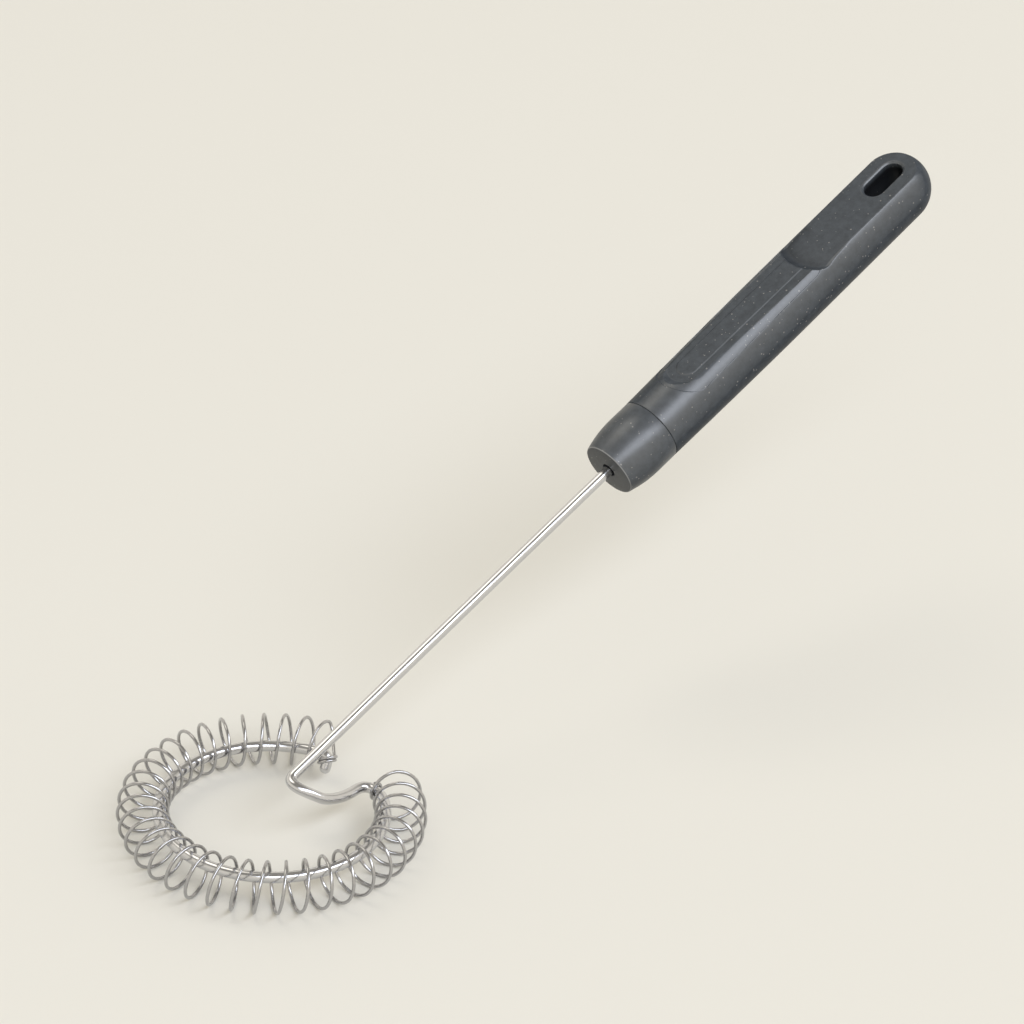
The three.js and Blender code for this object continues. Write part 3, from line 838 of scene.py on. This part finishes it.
# Each outline has its front, its back and half its width.
REST = (26.4, FLAT_FRONT + 7.95, 7.95)
REST_FLOOR = (29.7, FLAT_FRONT + 12, 6.0)
PAD = (32.6, FLAT_FRONT + 6.2, 3.3)
SLOT = (SLOT_FRONT, SLOT_BACK, SLOT_HALF_WIDTH)


def off_outline(x, y, outline):
    """Distance from an outline with straight sides and round ends. It is below 0 inside."""
    front, back, half_width = outline
    along = x - np.clip(x, front + half_width, back - half_width)
    return np.hypot(along, y) - half_width


def off_flat(x, y):
    """Distance from the flat's outline. It has straight sides, and a front flatter than a half round."""
    to_arc = np.hypot(np.minimum(x - FLAT_ARC_MIDDLE, 0), y) - FLAT_ARC
    return np.maximum(np.abs(y) - FLAT_HALF_WIDTH, to_arc)


print("slot:", round(SLOT_BACK - SLOT_FRONT, 1), "by", 2 * SLOT_HALF_WIDTH, "mm")

# %% Heights of what is sunk into the grip
STEEPNESS = 2.5
REST_EDGE = 0.4
FLOOR_HEIGHT = 8.3
FLOOR_FALL = math.tan(math.radians(0.75))
BANK_WIDTH = 3.2
BANK_HEIGHT = 1.7
PAD_HEIGHT = 0.22
PAD_EDGE = 0.3
FLAT_HEIGHT = 7.0
SCOOP_RADIUS = 3.0
DIP_DEPTH = 0.9
DIP_FADE = 2.6
SLOT_CHAMFER = 0.5
EDGE_ROUNDING = 0.1
FLOOR_ROUNDING = 0.12
FLAT_ROUNDING = 0.2
MOUTH_ROUNDING = 0.15


def soft_min(a, b, width):
    """The lower of two heights, rounded off where they are closer than the width."""
    mix = np.clip(0.5 + 0.5 * (b - a) / width, 0, 1)
    return b + (a - b) * mix - width * mix * (1 - mix)


def ramp(distance, width):
    """A share that grows evenly from 0 to 1 over a width."""
    return np.clip(distance / width, 0, 1)


def rest_height(x, y):
    """The thumb rest: a floor that falls a little, a low pad on it and a bank round it."""
    floor = off_outline(x, y, REST_FLOOR)
    bank = np.clip(floor, 0, BANK_WIDTH) * (BANK_HEIGHT / BANK_WIDTH)
    bank += STEEPNESS * np.clip(floor - BANK_WIDTH, 0, None)
    pad = PAD_HEIGHT * ramp(PAD_EDGE / 2 - off_outline(x, y, PAD), PAD_EDGE)
    return FLOOR_HEIGHT - FLOOR_FALL * (x - REST_FLOOR[0]) + pad + bank


def flat_height(x, y):
    """The flat, with the round scoop that leads up from it and a soft dip at the foot of the scoop."""
    away = off_flat(x, y)
    reach = 0.99 * SCOOP_RADIUS
    scoop = SCOOP_RADIUS - np.sqrt(SCOOP_RADIUS**2 - np.clip(away, 0, reach) ** 2)
    scoop += STEEPNESS * np.clip(away - reach, 0, None)
    inside = FLAT_ARC - np.hypot(x - FLAT_ARC_MIDDLE, y)
    dip = DIP_DEPTH * np.exp(-np.clip(inside, 0, None) / DIP_FADE) * (x < FLAT_ARC_MIDDLE)
    return FLAT_HEIGHT + scoop - dip


def sunk(x, y, z):
    """The height of the upper skin, from its height before anything is sunk into it."""
    edge = z - REST_EDGE + STEEPNESS * np.clip(off_outline(x, y, REST), 0, None)
    mouth = FLAT_HEIGHT - SLOT_CHAMFER + np.clip(off_outline(x, y, SLOT), 0, None)
    skin = soft_min(z, edge, EDGE_ROUNDING)
    skin = soft_min(skin, rest_height(x, y), FLOOR_ROUNDING)
    skin = soft_min(skin, flat_height(x, y), FLAT_ROUNDING)
    return soft_min(skin, mouth, MOUTH_ROUNDING)


print("thumb rest's floor:", FLOOR_HEIGHT, "mm over the handle's axis, the flat", FLAT_HEIGHT)

# %% [markdown]
# ## Skins from rings of points
#
# Both mouldings are skins stretched over rings of points, and so is the tool that cuts the slot. A
# modifier could spin an outline round an axis, but then every ring would be a plain circle. With rings
# of points the grip's can be let down, and the collar's can be marked one by one.

# %% Skin helpers
BEVEL_SHARES = (0.1, 0.3, 0.6, 1.0)


def band(low, high, count):
    """Faces between two rings, from the numbers of their first points."""
    nexts = [(k + 1) % count for k in range(count)]
    return [(low + k, low + n, high + n, high + k) for k, n in enumerate(nexts)]


def skin_object(name, points, faces, finish=None):
    """A mesh from points of the handle's own frame. It is smooth where it has a finish."""
    mesh = bpy.data.meshes.new(name)
    mesh.from_pydata(to_model(along_handle(points)).tolist(), [], faces)
    if finish is not None:
        mesh.polygons.foreach_set("use_smooth", [True] * len(faces))
        mesh.materials.append(finish)
    return into_scene(name, mesh)


def closed_skin(name, rings, finish):
    """A skin through rings of equal count, with a point at each end."""
    count = len(rings[0])
    first, last = np.mean(rings[0], axis=0), np.mean(rings[-1], axis=0)
    points = np.vstack([first[None], *rings, last[None]])
    faces = [(0, 1 + (k + 1) % count, 1 + k) for k in range(count)]
    for low in range(1, 1 + (len(rings) - 1) * count, count):
        faces += band(low, low + count, count)
    top = 1 + (len(rings) - 1) * count
    faces += [(top + k, top + (k + 1) % count, len(points) - 1) for k in range(count)]
    return skin_object(name, points, faces, finish)


def seam_bevel(share):
    """How far a point of the seam's rounded edge is from the seam and from the full radius."""
    return SEAM_BEVEL * (1 - share) ** 1.5, SEAM_BEVEL * share


print("seam:", 2 * SEAM_GAP, "mm wide, with edges rounded by", SEAM_BEVEL)

# %% Grip
REST_FRONT_ARCS = (26.15, 38.0)
SCOOP_ARCS = (78.5, 91.0)
CLOSEST = 0.15
CLOSE = 0.2
WIDE = 1.5
UPPER_TURN = 0.75
LOWER_TURN = 5.0
BALL_TURN = 2.0


def grip_stations():
    """Places along the skin: close together where outlines curve, and far apart where nothing changes."""
    straight_stretches = [
        np.linspace(COLLAR_LENGTH + SEAM_GAP + 0.2, 26.0, 9),
        np.arange(*REST_FRONT_ARCS, CLOSEST),
        np.arange(38.5, 78.0, WIDE),
        np.arange(*SCOOP_ARCS, CLOSE),
        np.arange(91.5, SLOT_FRONT - 1, WIDE),
        np.arange(SLOT_FRONT - 0.9, BALL_START, CLOSE),
    ]
    ball = BALL_START + GRIP_RADIUS * np.sin(np.radians(np.arange(0, 90, BALL_TURN)))
    return np.concatenate([*straight_stretches, ball])


def make_grip():
    """Rings from the end of the tang's bore out to the seam, and back along the skin to the ball."""
    around = np.radians(np.concatenate([np.arange(0, 180, UPPER_TURN), np.arange(180, 360, LOWER_TURN)]))
    cosine, sine = np.cos(around), np.sin(around)

    def ring(x, radius):
        return np.stack([np.full(len(around), x), radius * cosine, radius * sine], axis=1)

    front = COLLAR_LENGTH + SEAM_GAP
    bore_end, bore = TANG_LENGTH + WALL_GAP, WIRE_RADIUS + WALL_GAP
    socket_end, socket = COLLAR_LENGTH + SPIGOT_LENGTH + WALL_GAP, SPIGOT_RADIUS + WALL_GAP
    rings = [ring(bore_end, 0.01), ring(bore_end, bore), ring(socket_end, bore)]
    rings += [ring(socket_end, socket), ring(front, socket)]
    for share in reversed(BEVEL_SHARES):
        behind, below = seam_bevel(share)
        rings.append(ring(front + behind, SEAM_RADIUS - below))
    for x in grip_stations():
        skin = ring(x, float(grip_radius(x)))
        upper = skin[:, 2] > 0
        skin[upper, 2] = sunk(skin[upper, 0], skin[upper, 1], skin[upper, 2])
        skin[:, 2] += GRIP_LEAN * (x - COLLAR_LENGTH)
        rings.append(skin)
    return closed_skin("grip", rings, grip_plastic)


grip = make_grip()
print("grip:", len(grip.data.vertices), "points before the slot is cut")

# %% [markdown]
# ## The hanging slot
#
# The whisk hangs by a slot that goes right through the handle's end. The rings of the skin could be
# led round it, but a Boolean modifier cuts it cleanly through both sides. The cutter has a ring of
# points where the painted shade on the slot's wall starts, so that there is somewhere to store it.

# %% Slot
UNDER_GRIP = -16
WALL_FOOT = -9
# The slot's wall carries painted shade below the first of these two heights, fading out up to the second.
WALL_DARK_BELOW = 5.2
WALL_PALE_OVER = 6.1
OVER_GRIP = 16
SLOT_SHARP_OVER = 50


def slot_cutter():
    """A tall bar with round ends."""
    turns = np.radians(np.linspace(90, 270, 33))
    front, back = SLOT_FRONT + SLOT_HALF_WIDTH, SLOT_BACK - SLOT_HALF_WIDTH
    outline = [(front + SLOT_HALF_WIDTH * math.cos(t), SLOT_HALF_WIDTH * math.sin(t)) for t in turns]
    outline += [(back - SLOT_HALF_WIDTH * math.cos(t), -SLOT_HALF_WIDTH * math.sin(t)) for t in turns]
    count = len(outline)
    levels = (UNDER_GRIP, WALL_FOOT, WALL_DARK_BELOW, WALL_PALE_OVER, OVER_GRIP)
    points = [(x, y, z) for z in levels for x, y in outline]
    faces = [tuple(reversed(range(count))), tuple(range(len(points) - count, len(points)))]
    for low in range(0, len(points) - count, count):
        faces += band(low, low + count, count)
    return skin_object("slot_cutter", points, faces)


def cut_slot(thing):
    cutter = slot_cutter()
    cut = thing.modifiers.new("slot", "BOOLEAN")
    cut.operation = "DIFFERENCE"
    cut.solver = "EXACT"
    cut.object = cutter
    settle(thing, SLOT_SHARP_OVER)
    bpy.data.objects.remove(cutter)


cut_slot(grip)

# %% [markdown]
# ## Dull places and painted shade on the grip
#
# On the real handle the rest's floor and the flat are etched. The scoop's foot and the slot's walls
# lie in shade, and that shade is painted on them here. These places could be painted by hand. They
# have the outlines that were used for the shape, so the same distances say how much of each mark a
# point has, and the plastic reads that back.

# %% Marks on the grip
UPPER_SIDE = 5
SIDE_EDGE = 7.5
PAD_LINE = 0.08
FLAT_BAND = 2.2
SLOT_MARGIN = 0.7
SCOOP_SHADE_SHARE = 0.4
SCOOP_SHADE_START = 0.5
SCOOP_SHADE_FADE = 2.0


def in_handle(places):
    """The model's places, turned back into the handle's own frame."""
    x, y, z = (places / MM - RING_MIDDLE - handle_face).T
    c, s = math.cos(SHAFT_RISE), math.sin(SHAFT_RISE)
    return x * c + z * s, y, z * c - x * s


def mark_grip(thing):
    """Stores where the skin is etched dull, and where shade is painted on it: at the scoop's foot and in the
    slot.
    """
    x, y, z = in_handle(np.array([v.co for v in thing.data.vertices]))
    z = z - GRIP_LEAN * (x - COLLAR_LENGTH)
    slot, flat = off_outline(x, y, SLOT), off_flat(x, y)
    pad_edge = np.abs(off_outline(x, y, PAD))
    on_top = z > UPPER_SIDE
    between_sides = ramp(SIDE_EDGE - np.abs(y), 0.3) * on_top
    on_floor = ramp(-off_outline(x, y, REST_FLOOR), 0.3) * ramp(pad_edge - PAD_LINE, 0.2)
    on_floor = on_floor * on_top * (flat > 0)
    on_flat = ramp(FLAT_BAND - flat, 0.4) * ramp(slot - SLOT_MARGIN, 0.2) * between_sides
    # Painted shade at the scoop's foot, fading out across the flat.
    painted_scoop_shade = SCOOP_SHADE_SHARE * np.exp(-np.clip(-flat - SCOOP_SHADE_START, 0, None) / SCOOP_SHADE_FADE)
    painted_scoop_shade = painted_scoop_shade * (0.65 + 0.35 * y / FLAT_HALF_WIDTH) * ramp(SCOOP_LENGTH - flat, 0.2)
    painted_scoop_shade = painted_scoop_shade * between_sides * (x < FLAT_ARC_MIDDLE)
    # Painted shade on the slot's walls, from near their top down to the underside.
    painted_slot_shade = ramp(WALL_PALE_OVER + 0.1 - z, 0.9) * (slot < 0.05) * (z > WALL_FOOT - 0.1)
    store(thing.data, "etched", np.maximum(on_floor, on_flat))
    store(thing.data, "painted_shade", np.maximum(painted_scoop_shade, painted_slot_shade))


mark_grip(grip)
print("grip's marks:", [a.name for a in grip.data.attributes if a.name in ("etched", "painted_shade")])

# %% [markdown]
# ## The front collar
#
# The short moulding ahead of the seam is plain and round. Its face has a fine rounded rim with a
# painted highlight on it, a pale line, and the wire goes in through a slightly larger hole. Spinning
# its outline would do, as nothing is sunk into it. It is made of rings all the same, because the
# painted highlight is then a mark on three of them.

# %% Collar
COLLAR_SIDES = 128
MOUTH_GAP = 0.6
MOUTH_EDGE = 0.12
MOUTH_DEPTH = 4.7
FACE_RADIUS = 8.3
FACE_EDGE = 0.5
FLARE_LENGTH = 10
# The rings of the face's rounded edge that carry the painted highlight, and how much of it each has.
RIM_HIGHLIGHT_SHARES = {4: 0.6, 5: 1.0, 6: 0.6}


def collar_outline():
    """Radius and place along the axis, from the mouth round the outside and back through the bore."""
    mouth, bore = WIRE_RADIUS + MOUTH_GAP, WIRE_RADIUS + WALL_GAP
    back, spigot_end = COLLAR_LENGTH - SEAM_GAP, COLLAR_LENGTH + SPIGOT_LENGTH
    outline = [(mouth, MOUTH_EDGE), (mouth + MOUTH_EDGE, 0.0)]
    for angle in np.radians(np.linspace(0, 90, 7)):
        outline.append((FACE_RADIUS - FACE_EDGE * (1 - math.sin(angle)), FACE_EDGE * (1 - math.cos(angle))))
    for share in np.linspace(0, 1, 17)[1:]:
        flare = (SEAM_RADIUS - FACE_RADIUS) * (1 - (1 - share) ** 2)
        outline.append((FACE_RADIUS + flare, FACE_EDGE + FLARE_LENGTH * share))
    for share in BEVEL_SHARES:
        ahead, below = seam_bevel(share)
        outline.append((SEAM_RADIUS - below, back - ahead))
    outline += [(SPIGOT_RADIUS, back), (SPIGOT_RADIUS, spigot_end)]
    outline += [(bore, spigot_end), (bore, MOUTH_DEPTH + WALL_GAP), (mouth, MOUTH_DEPTH)]
    return outline


def make_collar():
    around = np.radians(np.arange(COLLAR_SIDES) * 360 / COLLAR_SIDES)
    outline = collar_outline()
    points = [(x, r * math.cos(a), r * math.sin(a)) for r, x in outline for a in around]
    faces = []
    for r in range(len(outline)):
        faces += band(r * COLLAR_SIDES, (r + 1) % len(outline) * COLLAR_SIDES, COLLAR_SIDES)
    return skin_object("collar", points, faces, collar_plastic)


def mark_rim_highlight(thing):
    """Stores how much each ring of the collar's skin is part of the painted highlight, the pale line round
    its face.
    """
    shares = np.zeros(len(thing.data.vertices) // COLLAR_SIDES)
    for ring, share in RIM_HIGHLIGHT_SHARES.items():
        shares[ring] = share
    store(thing.data, "rim", np.repeat(shares, COLLAR_SIDES))


collar = make_collar()
settle(collar)
mark_rim_highlight(collar)

# %% [markdown]
# ## Put the pieces on the model
#
# The real whisk has no moving joint. So every piece rides on the model's one body and stands for the
# node that was measured for it.

# %% Ride and replace
for piece, node, finish_slot in (
    (whisk_wire, "frame_wire", "wire_steel"),
    (whisk_spring, "coil_spring", "spring_steel"),
    (grip, "handle_grip", "grip_plastic"),
    (collar, "front_collar", "collar_plastic"),
):
    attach(piece, "root")
    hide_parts(node)
    low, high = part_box(node)
    corners = np.array([v.co for v in piece.data.vertices])
    over = max(*(np.array(low) - corners.min(0)), *(corners.max(0) - np.array(high)))
    print(piece.name, "stands for", node, "and is at most", round(1000 * over, 2), "mm outside its box")
